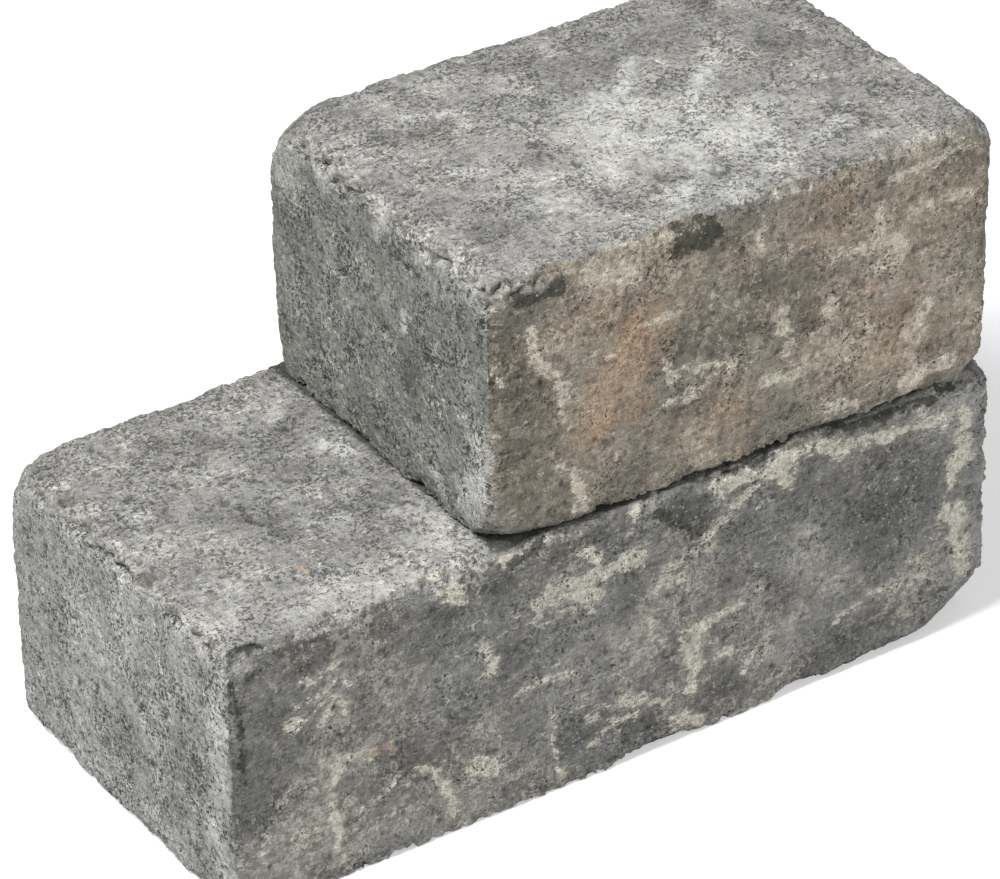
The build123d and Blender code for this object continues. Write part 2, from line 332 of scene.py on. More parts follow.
# Marks strewn over the hidden faces: kind, how many, then the ranges of strength, half width and run
STREWN = {
    "back": (
        ("pale", 34, (0.5, 0.9), (1.5, 5.0), (2, 30)),
        ("light", 5, (0.4, 0.8), (18, 34), (10, 40)),
        ("dark", 7, (0.4, 0.7), (6, 20), (10, 40)),
        ("tan", 3, (0.3, 0.6), (6, 16), (4, 20)),
    ),
    "end": (
        ("bloom", 9, (0.5, 0.9), (4, 9), (3, 25)),
        ("light", 4, (0.4, 0.8), (14, 30), (5, 30)),
        ("dark", 6, (0.4, 0.7), (5, 16), (5, 30)),
    ),
}

# Millimetres over which a crisp mark's painted value falls by one
EDGE = 8.0

# Cells along each side of the table of random numbers that smooth noise is read from
TABLE = 64

# A turn that keeps the noise's own grid from lining up with the blocks' faces
ASKEW = np.array(Matrix.Rotation(0.7, 3, "X") @ Matrix.Rotation(0.5, 3, "Y") @ Matrix.Rotation(0.9, 3, "Z"))


def spread(cells, seed):
    """A repeatable random number from 0 to 1 for each whole-numbered cell."""
    mixed = cells[..., 0] * 73856093 ^ cells[..., 1] * 19349663 ^ cells[..., 2] * 83492791 ^ seed * 2654435
    mixed = (mixed & 0xFFFFFFFF).astype(np.uint64)
    mixed = ((mixed ^ (mixed >> 15)) * 2246822519) & 0xFFFFFFFF
    mixed = ((mixed ^ (mixed >> 13)) * 3266489917) & 0xFFFFFFFF
    return ((mixed ^ (mixed >> 16)) & 0xFFFFFF).astype(np.float64) / 0xFFFFFF


def clouds(points, size, seed, octaves=1):
    """Smooth random heights, mostly from -1 to 1, with features of the given size."""
    table = np.random.default_rng(seed).uniform(-1, 1, (TABLE, TABLE, TABLE))
    total = np.zeros(len(points))
    weight, reach = 1.0, 0.0
    for octave in range(octaves):
        at = points @ ASKEW / size + 7.3 * (octave + 1)
        cell = np.floor(at).astype(np.int64)
        part = at - cell
        part = part * part * (3 - 2 * part)
        ends = (cell % TABLE, (cell + 1) % TABLE)
        shares = (1 - part, part)
        for x, y, z in np.ndindex(2, 2, 2):
            value = table[ends[x][:, 0], ends[y][:, 1], ends[z][:, 2]]
            total += weight * value * shares[x][:, 0] * shares[y][:, 1] * shares[z][:, 2]
        reach += weight
        weight *= 0.6
        size *= 0.5
    return total / reach * 1.8


def facets(points, size, seed):
    """Broken stone: heights from 0 to 1 of tilted flats round scattered centres, and the cracks between."""
    home = np.floor(points / size).astype(np.int64)
    nearest = np.full(len(points), np.inf)
    second = np.full(len(points), np.inf)
    height = np.zeros(len(points))
    for step in np.ndindex(3, 3, 3):
        cell = home + np.array(step) - 1
        centre = np.stack([spread(cell, seed + k) for k in (1, 2, 3)], axis=1)
        tilt = np.stack([spread(cell, seed + k) for k in (4, 5, 6)], axis=1) * 2 - 1
        offset = points / size - cell - centre
        away = np.linalg.norm(offset, axis=1)
        closer = away < nearest
        second = np.where(closer, nearest, np.minimum(second, away))
        nearest = np.where(closer, away, nearest)
        level = spread(cell, seed + 7) + 0.55 * np.sum(offset * tilt, axis=1)
        height = np.where(closer, level, height)
    return np.clip(height, 0, 1.2), 1 - fade(second - nearest, 0.02, 0.3)


def fade(values, start, end):
    """0 before start, 1 after end, and smooth between."""
    share = np.clip((values - start) / (end - start), 0, 1)
    return share * share * (3 - 2 * share)


class Cast:
    """One block in its own frame: millimetres from its lower front left corner."""

    def __init__(self, node, turn):
        low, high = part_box(node)
        corners = np.array([[point.x, point.y] for point in (low, high)]) / MM
        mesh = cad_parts[node].data
        flat = np.empty(len(mesh.vertices) * 3)
        mesh.vertices.foreach_get("co", flat)
        points = flat.reshape(-1, 3) / MM
        middle = corners.mean(axis=0)
        self.turn = Matrix.Rotation(turn, 3, "Z")
        self.axes = np.array(self.turn)
        self.middle = np.array([middle[0], middle[1], low.z / MM])
        local = (points - self.middle) @ self.axes
        self.low = local.min(axis=0)
        self.size = local.max(axis=0) - self.low

    def inside(self, points):
        """World millimetres to the block's own millimetres."""
        return (points - self.middle) @ self.axes - self.low

    def face_place(self, name, own):
        """Where points lie on a face, in that face's own two directions."""
        across = {
            "front": (own[:, 0], own[:, 2]),
            "back": (self.size[0] - own[:, 0], own[:, 2]),
            "left": (own[:, 1], own[:, 2]),
            "right": (self.size[1] - own[:, 1], own[:, 2]),
            "top": (own[:, 0], own[:, 1]),
            "bottom": (own[:, 0], own[:, 1]),
        }
        return np.stack(across[name], axis=1)

    def face_share(self, name, normals):
        """How squarely each point's smooth normal looks out of a face."""
        return fade(normals @ self.axes @ np.array(FACES[name], dtype=float), 0.62, 0.78)

    def from_faces(self, own):
        """Distance of each point from each of the six faces' planes, by name."""
        return {
            "left": own[:, 0],
            "right": self.size[0] - own[:, 0],
            "front": own[:, 1],
            "back": self.size[1] - own[:, 1],
            "bottom": own[:, 2],
            "top": self.size[2] - own[:, 2],
        }


def off_line(places, line):
    """Distance of each place from the nearest part of a line through the given points."""
    line = np.array(line, dtype=float)
    away = np.linalg.norm(places - line[0], axis=1)
    for start, end in zip(line[:-1], line[1:]):
        run = end - start
        along = np.clip((places - start) @ run / (run @ run), 0, 1)
        away = np.minimum(away, np.linalg.norm(places - start - along[:, None] * run, axis=1))
    return away


def chance_marks(cast, face, seed):
    """Bloom, damp and stains strewn over a face that has no list of its own."""
    draw = np.random.default_rng(seed)
    size = cast.face_place(face, cast.size[None, :])[0]
    size = np.maximum(size, [cast.size[1] if face == "right" else cast.size[0], 0])
    marks = []
    for kind, count, strengths, widths, runs in STREWN["back" if face in ("front", "back") else "end"]:
        for _ in range(count):
            start = draw.uniform((6, 6), size - 6)
            angle = draw.uniform(0, math.pi)
            run = runs[0] + (runs[1] - runs[0]) * draw.uniform() ** 2
            bend = start + run * np.array([math.cos(angle), math.sin(angle)])
            end = bend + 0.6 * run * np.array([math.cos(angle + 0.6), math.sin(angle + 0.6)])
            marks.append((kind, draw.uniform(*strengths), draw.uniform(*widths), start, bend, end))
    return marks


def smooth_copy(node, name, voxel):
    """An even, fine mesh of a solid, with the edges of its breaks softened."""
    copy = bpy.data.objects.new(name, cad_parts[node].data.copy())
    bpy.context.scene.collection.objects.link(copy)
    remesh = copy.modifiers.new("even", "REMESH")
    remesh.mode = "VOXEL"
    remesh.voxel_size = voxel
    soften = copy.modifiers.new("soften", "SMOOTH")
    soften.factor = 0.5
    soften.iterations = 2
    apply_modifiers(copy)
    return copy


def apply_modifiers(obj):
    """Replace an object's mesh with what its modifiers make of it."""
    shown = obj.evaluated_get(bpy.context.evaluated_depsgraph_get())
    made = bpy.data.meshes.new_from_object(shown)
    obj.modifiers.clear()
    obj.data = made


def read_points(mesh):
    """Vertex places in millimetres, and vertex normals."""
    flat = np.empty(len(mesh.vertices) * 3)
    mesh.vertices.foreach_get("co", flat)
    normals = np.empty(len(mesh.vertices) * 3)
    mesh.vertex_normals.foreach_get("vector", normals)
    return flat.reshape(-1, 3) / MM, normals.reshape(-1, 3)


def relief(cast, points, normals, wear, crumble, crests, pits, bedded, seed):
    """Height of the worn surface over the smooth one, with what the colours need to know of it, such as where shade is
    painted into pits and cracks.
    """
    own = cast.inside(points)
    gaps = cast.from_faces(own)
    order = np.sort(np.stack(list(gaps.values()), axis=1), axis=1)
    amount = np.ones(len(points))
    for name, value in crumble.items():
        first, second = name.split()
        close = np.exp(-((gaps[first] / 16) ** 2) - ((gaps[second] / 16) ** 2))
        amount += (value - 1) * close
    near = np.exp(-((order[:, 1] * MM / wear.crumble_reach / amount ** 0.7) ** 2.5))
    facing = np.sort(np.abs(normals @ cast.axes), axis=1)
    rolled = np.clip((1 / facing[:, 2] - 1) / 0.414, 0, 1) * (1 - fade(facing[:, 0], 0.15, 0.4))
    crest = np.zeros(len(points))
    for name, proud in crests.items():
        first, second = name.split()
        close = np.exp(-((gaps[first] / 12) ** 4) - ((gaps[second] / 12) ** 4))
        crest = np.maximum(crest, proud * rolled * close)
    crest *= 0.8 + 0.35 * clouds(points, 9.0, seed + 8, 2)
    struck = cast.face_share("front", normals) + cast.face_share("back", normals)
    coarse = 1 - 0.3 * struck
    grain = 0.55 * clouds(points, 6.0, seed + 1, 2) + 0.8 * clouds(points, 2.4, seed + 2, 2)
    holes = 0.8 * fade(clouds(points, 5.0, seed + 3, 3), 0.45, 1.05)
    holes += 0.6 * fade(clouds(points, 2.6, seed + 4, 2), 0.5, 1.1)
    crumbs = np.zeros(len(points))
    worn = near > 0.02
    broken = points[worn]
    bites = 0.35 + 0.65 * fade(clouds(broken, 16, seed + 5, 2), -0.4, 0.3)
    large, middling, small = (facets(broken, size, seed + 2 * size) for size in (10, 6, 4))
    stone = 0.35 * large[0] + 0.4 * middling[0] + 0.25 * small[0]
    crumbs[worn] = near[worn] * amount[worn] * bites * fade(stone, 0.25, 0.9)
    open_cracks = fade(clouds(broken, 7.0, seed + 9, 2), -0.35, 0.35)
    cracks = np.zeros(len(points))
    cracks[worn] = fade(near[worn] * amount[worn], 0.7, 1.8) * open_cracks * np.maximum(middling[1], 0.8 * large[1])
    dents = np.zeros(len(points))
    ragged = 1 + 0.5 * clouds(points, 3.0, seed + 6)
    for face, across, up, half_width, depth in pits:
        away = np.linalg.norm(cast.face_place(face, own) - np.array([across, up], dtype=float), axis=1)
        hollow = np.clip(1 - (away / half_width / ragged) ** 2, 0, None)
        dents = np.maximum(dents, cast.face_share(face, normals) * depth * hollow)
    height = (clouds(points, 70, seed + 7) + 0.6) * wear.wobble / MM
    height += coarse * (grain * wear.grain / MM - holes * wear.pit_depth / MM) - dents
    height *= 1 - bedded
    height += crest - crumbs * wear.crumble / MM - 0.9 * cracks
    # Painted shade for pinholes, pits, dents and cracks: the material darkens these spots where shade falls
    hollow_shade = np.clip(coarse * holes + 0.7 * fade(dents, 0.6, 2.4), 0, 1) * (1 - bedded)
    hollow_shade = np.maximum(hollow_shade, 0.85 * cracks)
    return height, near * amount, crumbs, hollow_shade, grain


def paint(mesh, name, values):
    """Store one number for each vertex, for the material to read."""
    layer = mesh.attributes.new(name, "FLOAT", "POINT")
    layer.data.foreach_set("value", np.ascontiguousarray(values, dtype=np.float32))


def cast_block(context, node, turn, marks, pits, crumble, crests, bedded_faces, seat_dirt_and_shade, voxel, seed):
    """Make the cast mesh that stands for one block, with its wear, and the places where the material paints shade,
    stored on its vertices.
    """
    wear = context.scene.block_wear
    cast = Cast(node, turn)
    piece = smooth_copy(node, node + "_cast", voxel)
    points, normals = read_points(piece.data)
    own = cast.inside(points)
    bedded = bedded_faces(cast, own, points, normals)
    height, arris, crumbs, hollow_shade, grain = relief(cast, points, normals, wear, crumble, crests, pits, bedded, seed)
    moved = (points + normals * height[:, None]) * MM
    piece.data.vertices.foreach_set("co", moved.ravel())
    edge = (cast.from_faces(own)["top"] < 6) & (cast.from_faces(own)["left"] < 8)
    print("EDGE", node, edge.sum(), "crumbs", np.percentile(crumbs[edge] * wear.crumble / MM, [5, 25, 50, 75, 95]),
          "arris", np.percentile(arris[edge], [5, 50, 95]), "height", np.percentile(height[edge], [5, 50, 95]))
    stray = [1.6 * clouds(points, 7.0, seed + 80 + k, 2) + 2.5 * clouds(points, 24.0, seed + 90 + k) for k in (0, 1)]
    swell = 1 + 0.75 * clouds(points, 10.0, seed + 95, 2)
    fields = {kind: np.zeros(len(points)) for kind in ("pale", "bloom", "light", "dark", "tan", "moss")}
    for number, face in enumerate(FACES):
        share = cast.face_share(face, normals)
        place = cast.face_place(face, own) + np.stack(stray, axis=1)
        for kind, strength, half_width, *line in marks.get(face) or chance_marks(cast, face, seed + number):
            away = off_line(place, line)
            if kind in ("pale", "moss"):
                spread_out = 0.68 if len(line) > 1 else 0.95
                there = 1 + (spread_out * half_width * strength * swell - away) / EDGE
            else:
                there = strength * (1 - fade(away, 0, 2 * half_width))
            fields[kind] = np.maximum(fields[kind], share * np.clip(there, 0, 2))
    for kind, values in fields.items():
        paint(piece.data, kind, values)
    paint(piece.data, "mottle", clouds(points, 22.0, seed + 96, 4))
    paint(piece.data, "drift", clouds(points, 38.0, seed + 97, 3))
    paint(piece.data, "patch", clouds(points, 13.0, seed + 98, 2))
    paint(piece.data, "arris", arris)
    paint(piece.data, "crumbs", crumbs)
    # Where the material paints shade into pits, dents and cracks
    paint(piece.data, "hollow_shade", hollow_shade)
    # The grain's height, which the material paints as light on its high spots and shade in its low ones
    paint(piece.data, "rise", grain)
    # Dirt and painted shade in the joint between the blocks
    paint(piece.data, "joint_dirt_and_shade", seat_dirt_and_shade(cast, own, points, normals))
    paint(piece.data, "struck", cast.face_share("front", normals) + cast.face_share("back", normals))
    paint(piece.data, "topside", fade(normals[:, 2], 0.3, 0.75))
    piece.data.update()
    keep = piece.vertex_groups.new(name="worn")
    keep.add(np.flatnonzero((arris > 0.45) & (bedded < 0.5)).tolist(), 1.0, "REPLACE")
    thin = piece.modifiers.new("thin", "DECIMATE")
    thin.vertex_group = keep.name
    thin.invert_vertex_group = True
    thin.vertex_group_factor = 1.0
    triangles = sum(len(face.vertices) - 2 for face in piece.data.polygons)
    thin.ratio = min(1.0, wear.triangles / triangles)
    apply_modifiers(piece)
    piece.data.shade_smooth()
    pts, nn = read_points(piece.data)
    oo = cast.inside(pts)
    ee = (cast.from_faces(oo)["top"] < 6) & (cast.from_faces(oo)["left"] < 8)
    print("KEPT", node, edge.sum(), "->", ee.sum(), "of", len(points), "->", len(pts), "worn", (arris > 0.45).sum())
    print("PIECE", piece.name, "from", triangles, "to", sum(len(f.vertices) - 2 for f in piece.data.polygons),
          [a.name for a in piece.data.attributes])
    return piece


def put(tree, kind, inputs=None, **settings):
    """Add a node, set it up, and join or fill its named inputs."""
    node = tree.nodes.new(kind)
    for name, value in settings.items():
        setattr(node, name, value)
    for name, value in (inputs or {}).items():
        if isinstance(value, bpy.types.NodeSocket):
            tree.links.new(value, node.inputs[name])
        else:
            node.inputs[name].default_value = value
    return node


def sums(tree, operation, *values):
    """One math node on sockets or numbers."""
    return put(tree, "ShaderNodeMath", dict(enumerate(values)), operation=operation).outputs[0]


def tint(tree, share, first, second, mode="MIX"):
    """Mix two colours by a share."""
    inputs = {0: share, 6: first, 7: second}
    return put(tree, "ShaderNodeMix", inputs, data_type="RGBA", blend_type=mode).outputs[2]


def ramp(tree, value, low, high, to_low=0.0, to_high=1.0):
    """Stretch a value from one range to another, held at both ends."""
    inputs = {"Value": value, "From Min": low, "From Max": high, "To Min": to_low, "To Max": to_high}
    return put(tree, "ShaderNodeMapRange", inputs, clamp=True).outputs["Result"]


def noise(tree, place, size, detail=2.0, rough=0.5):
    """Noise with features of the given size, on coordinates in millimetres."""
    inputs = {"Vector": place, "Scale": 1.0 / size, "Detail": detail, "Roughness": rough}
    return put(tree, "ShaderNodeTexNoise", inputs).outputs["Fac"]


def new_group(name, inputs, outputs):
    """An empty node group with named sockets."""
    group = bpy.data.node_groups.new(name, "ShaderNodeTree")
    for label, kind, default in inputs:
        socket = group.interface.new_socket(label, in_out="INPUT", socket_type=kind)
        if default is not None:
            socket.default_value = default
    for label, kind in outputs:
        group.interface.new_socket(label, in_out="OUTPUT", socket_type=kind)
    return group, group.nodes.new("NodeGroupInput"), group.nodes.new("NodeGroupOutput")


def grain_group():
    """Sand grain, pinholes and small stones of cast concrete, on a place in millimetres."""
    group, given, result = new_group(
        "Concrete grain",
        [("Place", "NodeSocketVector", None), ("Pinholes", "NodeSocketFloat", 0.5), ("Patch", "NodeSocketFloat", 0.0)],
        [("Tone", "NodeSocketFloat"), ("Holes", "NodeSocketFloat"), ("Stones", "NodeSocketFloat"), ("Height", "NodeSocketFloat")],
    )
    place = given.outputs["Place"]
    fine = noise(group, place, 0.9, 2.0, 0.7)
    middle = noise(group, place, 3.0, 3.0, 0.75)
    porous = noise(group, place, 2.1, 2.0, 0.7)
    patch = given.outputs["Patch"]
    limit = ramp(group, given.outputs["Pinholes"], 0.0, 1.0, 0.24, 0.42)
    limit = sums(group, "MULTIPLY_ADD", patch, 0.07, limit)
    under = sums(group, "SUBTRACT", limit, porous)
    holes = ramp(group, under, 0.0, 0.04)
    cells = put(group, "ShaderNodeTexVoronoi", {"Vector": place, "Scale": 1 / 1.5, "Randomness": 1.0})
    shade = put(group, "ShaderNodeSeparateColor", {"Color": cells.outputs["Color"]})
    core = ramp(group, cells.outputs["Distance"], 0.6, 0.25)
    pebble = sums(group, "SUBTRACT", shade.outputs["Red"], 0.5)
    pebble = sums(group, "MULTIPLY", pebble, core)
    stones = sums(group, "MULTIPLY", ramp(group, shade.outputs["Green"], 0.93, 0.97), core)
    tone = ramp(group, fine, 0.28, 0.72, -0.5, 0.5)
    tone = sums(group, "ADD", tone, ramp(group, middle, 0.28, 0.72, -0.6, 0.6))
    tone = sums(group, "MULTIPLY_ADD", pebble, 0.7, tone)
    tone = sums(group, "MULTIPLY", tone, ramp(group, patch, -0.6, 0.6, 0.7, 1.2))
    height = sums(group, "MULTIPLY", middle, 1.2)
    height = sums(group, "MULTIPLY_ADD", fine, 0.7, height)
    height = sums(group, "MULTIPLY_ADD", holes, -0.9, height)
    for name, value in (("Tone", tone), ("Holes", holes), ("Stones", stones), ("Height", height)):
        group.links.new(value, result.inputs[name])
    return group


def mark_group():
    """Turn a soft painted mark into one with broken, ragged edges."""
    group, given, result = new_group(
        "Ragged mark",
        [("Place", "NodeSocketVector", None), ("Painted", "NodeSocketFloat", 0.0), ("Breakup", "NodeSocketFloat", 0.8),
         ("Size", "NodeSocketFloat", 4.0), ("Edge", "NodeSocketFloat", 0.5), ("Softness", "NodeSocketFloat", 0.15)],
        [("Mask", "NodeSocketFloat"), ("Halo", "NodeSocketFloat")],
    )
    inverse = sums(group, "DIVIDE", 1.0, given.outputs["Size"])
    inputs = {"Vector": given.outputs["Place"], "Scale": inverse, "Detail": 3.0, "Roughness": 0.78}
    broken = put(group, "ShaderNodeTexNoise", inputs)
    wobble = sums(group, "SUBTRACT", broken.outputs["Fac"], 0.5)
    ragged = sums(group, "MULTIPLY_ADD", wobble, given.outputs["Breakup"], given.outputs["Painted"])
    low = sums(group, "SUBTRACT", given.outputs["Edge"], given.outputs["Softness"])
    high = sums(group, "ADD", given.outputs["Edge"], given.outputs["Softness"])
    mask = put(group, "ShaderNodeMapRange", {"Value": ragged, "From Min": low, "From Max": high}, clamp=True)
    group.links.new(mask.outputs["Result"], result.inputs["Mask"])
    faint = sums(group, "SUBTRACT", low, 0.45)
    halo = put(group, "ShaderNodeMapRange", {"Value": ragged, "From Min": faint, "From Max": high}, clamp=True)
    group.links.new(halo.outputs["Result"], result.inputs["Halo"])
    return group


def use(tree, group, inputs):
    """Place a node group in a material with its own values."""
    node = tree.nodes.new("ShaderNodeGroup")
    node.node_tree = group
    for name, value in inputs.items():
        if isinstance(value, bpy.types.NodeSocket):
            tree.links.new(value, node.inputs[name])
        else:
            node.inputs[name].default_value = value
    return node


def painted(tree, name):
    """A number that was painted on the vertices."""
    return put(tree, "ShaderNodeAttribute", attribute_name=name, attribute_type="GEOMETRY").outputs["Fac"]


def rgb(colour):
    return (*colour, 1.0)


def shaded(tree, colour, value):
    """Multiply a colour by one number."""
    grey = put(tree, "ShaderNodeCombineColor", {0: value, 1: value, 2: value}).outputs[0]
    return tint(tree, 1.0, colour, grey, "MULTIPLY")


def concrete(name, look, grain, mark):
    """Cast concrete, tumbled: grey ends and top, browner struck faces, bloom, damp and crumbs, with painted shade in
    pits, cracks, notches and the joint, and painted light and shade on the grain.
    """
    material = bpy.data.materials.new(name)
    material.use_nodes = True
    tree = material.node_tree
    tree.nodes.clear()
    where = put(tree, "ShaderNodeTexCoord").outputs["Object"]
    place = put(tree, "ShaderNodeVectorMath", {0: where, "Scale": 1 / MM}, operation="SCALE").outputs[0]
    struck = painted(tree, "struck")
    pinholes = sums(tree, "MULTIPLY_ADD", struck, look.front_pinholes - look.pinholes, look.pinholes)
    speck = use(tree, grain, {"Place": place, "Pinholes": pinholes, "Patch": painted(tree, "patch")})
    base = tint(tree, painted(tree, "topside"), rgb(look.end_colour), rgb(look.top_colour))
    drift = ramp(tree, painted(tree, "drift"), -0.7, 0.7)
    base = tint(tree, struck, base, tint(tree, drift, rgb(look.front_colour), rgb(look.front_cool)))
    base = shaded(tree, base, ramp(tree, painted(tree, "mottle"), -1.0, 1.0, 0.66, 1.34))
    turned = put(tree, "ShaderNodeMapping", {"Vector": place, "Rotation": (0, 0.35, 0.45), "Scale": (0.08, 1.0, 0.9)}).outputs[0]
    base = shaded(tree, base, ramp(tree, noise(tree, turned, 1.6, 2.0, 0.7), 0.3, 0.7, 1 - look.scratches, 1 + look.scratches))
    tan = use(tree, mark, {"Place": place, "Painted": painted(tree, "tan"), "Breakup": 1.2, "Size": 9.0, "Softness": 0.4})
    base = tint(tree, sums(tree, "MULTIPLY", tan.outputs["Mask"], look.tan_share), base, rgb(look.tan_colour))
    light = use(tree, mark, {"Place": place, "Painted": painted(tree, "light"), "Breakup": 1.2, "Size": 7.0, "Softness": 0.45})
    base = shaded(tree, base, ramp(tree, light.outputs["Mask"], 0.0, 1.0, 1.0, look.light_gain))
    dark = use(tree, mark, {"Place": place, "Painted": painted(tree, "dark"), "Breakup": 1.2, "Size": 7.0, "Softness": 0.35})
    base = shaded(tree, base, ramp(tree, dark.outputs["Mask"], 0.0, 1.0, 1.0, look.dark_gain))
    dust = sums(tree, "MULTIPLY_ADD", painted(tree, "drift"), -0.1, noise(tree, place, 5.0, 4.0, 0.78))
    dust = sums(tree, "MULTIPLY", ramp(tree, dust, 0.56, 0.62), sums(tree, "MULTIPLY_ADD", struck, 0.25, 0.15))
    base = tint(tree, dust, base, rgb(look.pale_colour))
    crust = ramp(tree, painted(tree, "arris"), 0.3, 1.6)
    crust = use(tree, mark, {"Place": place, "Painted": crust, "Breakup": 2.6, "Size": 5.0, "Softness": 0.25, "Edge": 0.6})
    crust_tint = tint(tree, 0.35, rgb(look.bloom_colour), rgb(look.pale_colour))
    base = tint(tree, sums(tree, "MULTIPLY", crust.outputs["Mask"], look.crust), base, crust_tint)
    smeared = put(tree, "ShaderNodeMapping", {"Vector": place, "Rotation": (0, 0.3, 0.3), "Scale": (0.5, 1.1, 1.1)}).outputs[0]
    bloom = use(tree, mark, {"Place": smeared, "Painted": painted(tree, "bloom"), "Breakup": 1.8, "Size": 8.0, "Edge": 0.5, "Softness": 0.35})
    base = tint(tree, sums(tree, "MULTIPLY", bloom.outputs["Mask"], 0.72), base, rgb(look.bloom_colour))
    line = sums(tree, "ABSOLUTE", sums(tree, "SUBTRACT", noise(tree, smeared, 26.0, 3.0, 0.6), 0.5))
    line = sums(tree, "MULTIPLY", ramp(tree, line, 0.010, 0.003), ramp(tree, painted(tree, "mottle"), 0.0, 0.25))
    line = sums(tree, "MULTIPLY", sums(tree, "MULTIPLY", line, look.veins), ramp(tree, noise(tree, place, 3.0, 2.0, 0.6), 0.42, 0.52))
    base = tint(tree, line, base, rgb(look.pale_colour))
    pale = use(tree, mark, {"Place": smeared, "Painted": painted(tree, "pale"), "Breakup": 1.7, "Size": 3.2, "Edge": 0.97, "Softness": 0.04})
    gaps = ramp(tree, noise(tree, place, 2.2, 2.0, 0.7), 0.36, 0.52, 0.45, 0.9)
    base = tint(tree, sums(tree, "MULTIPLY", pale.outputs["Halo"], look.halo), base, rgb(look.pale_colour))
    base = tint(tree, sums(tree, "MULTIPLY", pale.outputs["Mask"], gaps), base, rgb(look.pale_colour))
    moss = use(tree, mark, {"Place": place, "Painted": painted(tree, "moss"), "Breakup": 1.6, "Size": 4.0, "Edge": 1.0, "Softness": 0.1})
    base = tint(tree, sums(tree, "MULTIPLY", moss.outputs["Mask"], 0.86), base, rgb(look.moss_colour))
    strength = sums(tree, "MULTIPLY_ADD", struck, look.front_grain - look.grain_tone, look.grain_tone)
    strength = sums(tree, "MULTIPLY_ADD", painted(tree, "topside"), look.top_grain - look.grain_tone, strength)
    washed = sums(tree, "MAXIMUM", bloom.outputs["Mask"], light.outputs["Mask"])
    strength = sums(tree, "MULTIPLY", strength, ramp(tree, washed, 0.0, 1.0, 1.0, 0.66))
    tone = sums(tree, "MULTIPLY_ADD", speck.outputs["Tone"], strength, 1.0)
    # Painted light and shade on the grain: high spots lighter, low spots darker
    tone = sums(tree, "MULTIPLY_ADD", painted(tree, "rise"), look.grain_relief_shade, tone)
    base = shaded(tree, base, sums(tree, "MAXIMUM", tone, 0.2))
    base = tint(tree, sums(tree, "MULTIPLY", speck.outputs["Stones"], 0.5), base, crust_tint)
    # Painted shade in pinholes, pits, dents, cracks, the deepest crumb notches and the joint, all darkened towards the
    # pit shade colour
    hollow = sums(tree, "MULTIPLY_ADD", painted(tree, "topside"), -0.25, 0.9)
    hollow = sums(tree, "MULTIPLY", speck.outputs["Holes"], hollow)
    hollow = sums(tree, "MAXIMUM", hollow, sums(tree, "MULTIPLY", painted(tree, "hollow_shade"), 0.8))
    deep = ramp(tree, painted(tree, "crumbs"), 0.7, 1.5, 0.0, 0.6)
    hollow = sums(tree, "MAXIMUM", hollow, deep)
    # Dirt and painted shade in the joint between the blocks, darkened towards the pit shade colour
    joint_dirt_and_shade = use(tree, mark, {"Place": place, "Painted": painted(tree, "joint_dirt_and_shade"), "Breakup": 2.2, "Size": 5.0, "Edge": 0.5, "Softness": 0.3})
    hollow = sums(tree, "MAXIMUM", hollow, sums(tree, "MULTIPLY", joint_dirt_and_shade.outputs["Mask"], 0.85))
    base = tint(tree, hollow, base, rgb(look.pit_shade_colour))
    bump = put(tree, "ShaderNodeBump", {"Strength": 1.0, "Distance": look.bump, "Height": speck.outputs["Height"]})
    shader = put(tree, "ShaderNodeBsdfPrincipled", {"Base Color": base, "Roughness": 0.92, "Normal": bump.outputs["Normal"]})
    shader.inputs["Specular IOR Level"].default_value = 0.25
    result = put(tree, "ShaderNodeOutputMaterial")
    tree.links.new(shader.outputs[0], result.inputs["Surface"])
    return material


def colour_prop(name, default, description):
    return bpy.props.FloatVectorProperty(name=name, description=description, subtype="COLOR", size=3, min=0, max=1, default=default)


def length_prop(name, default, description):
    return bpy.props.FloatProperty(name=name, description=description, unit="LENGTH", min=0, default=default, precision=5)


def number_prop(name, default, description):
    return bpy.props.FloatProperty(name=name, description=description, default=default)


class BlockWear(bpy.types.PropertyGroup):
    """How tumbling and casting shape the surface."""

    wobble: length_prop("Wobble", 0.0004, "How far a cast face strays from flat")
    grain: length_prop("Grain", 0.00038, "Height of the coarse grain")
    pit_depth: length_prop("Pit depth", 0.0014, "Depth of the larger pits")
    crumble: length_prop("Crumble", 0.0045, "How deep the arrises have crumbled")
    crumble_reach: length_prop("Crumble reach", 0.0056, "How far from an arris the crumbling reaches")
    long_voxel: length_prop("Long block mesh", 0.0012, "Mesh size of the long block before thinning")
    short_voxel: length_prop("Short block mesh", 0.0011, "Mesh size of the short block before thinning")
    triangles: bpy.props.IntProperty(name="Triangles", description="Most triangles in one block", default=194000, min=1000)
    short_turn: bpy.props.FloatProperty(name="Short block's turn", description="How far the short block is turned, seen from above", subtype="ANGLE", default=math.radians(-1.1))


